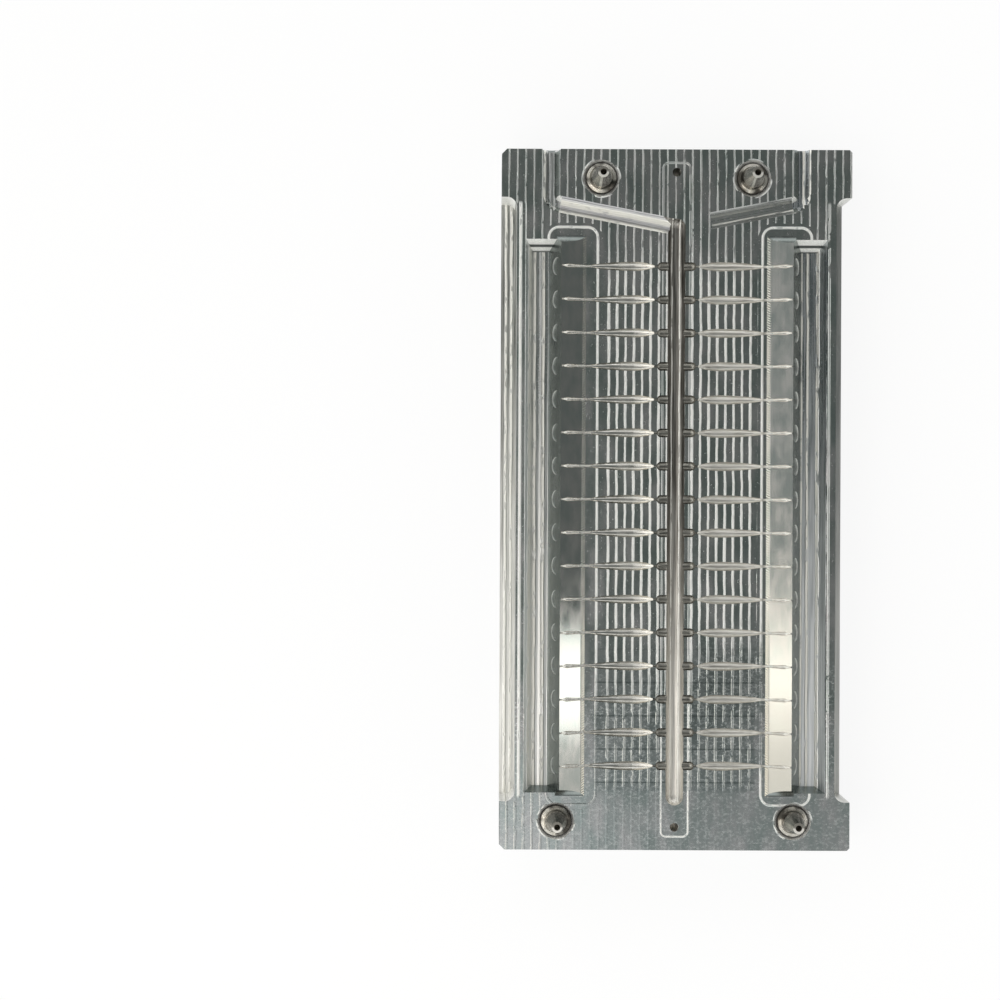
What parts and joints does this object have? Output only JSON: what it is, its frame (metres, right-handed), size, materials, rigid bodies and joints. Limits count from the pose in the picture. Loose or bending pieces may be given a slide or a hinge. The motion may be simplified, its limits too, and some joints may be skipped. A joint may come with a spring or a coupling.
{
  "type": "injection mould half",
  "caption": "Aluminium mould half for soft lures: rows of cavities along a runner, tail ridges, side troughs, guide pins and clamp ledges.",
  "frame": {"origin": "middle of the back face", "axes": "+Z from the back face to the parting face, +Y along the plate towards the sprue end, +X to the right when looking at the parting face with the sprues at the top"},
  "size_m": [0.2, 0.4, 0.06],
  "materials": {
    "plate": "milled, with cutter marks",
    "pins": "hardened and ground"
  },
  "bodies": {
    "root": {"mould_plate": "plate", "guide_pin_sprue_end_left": "pins", "guide_pin_sprue_end_right": "pins", "guide_pin_far_end_left": "pins", "guide_pin_far_end_right": "pins"}
  },
  "joints": []
}
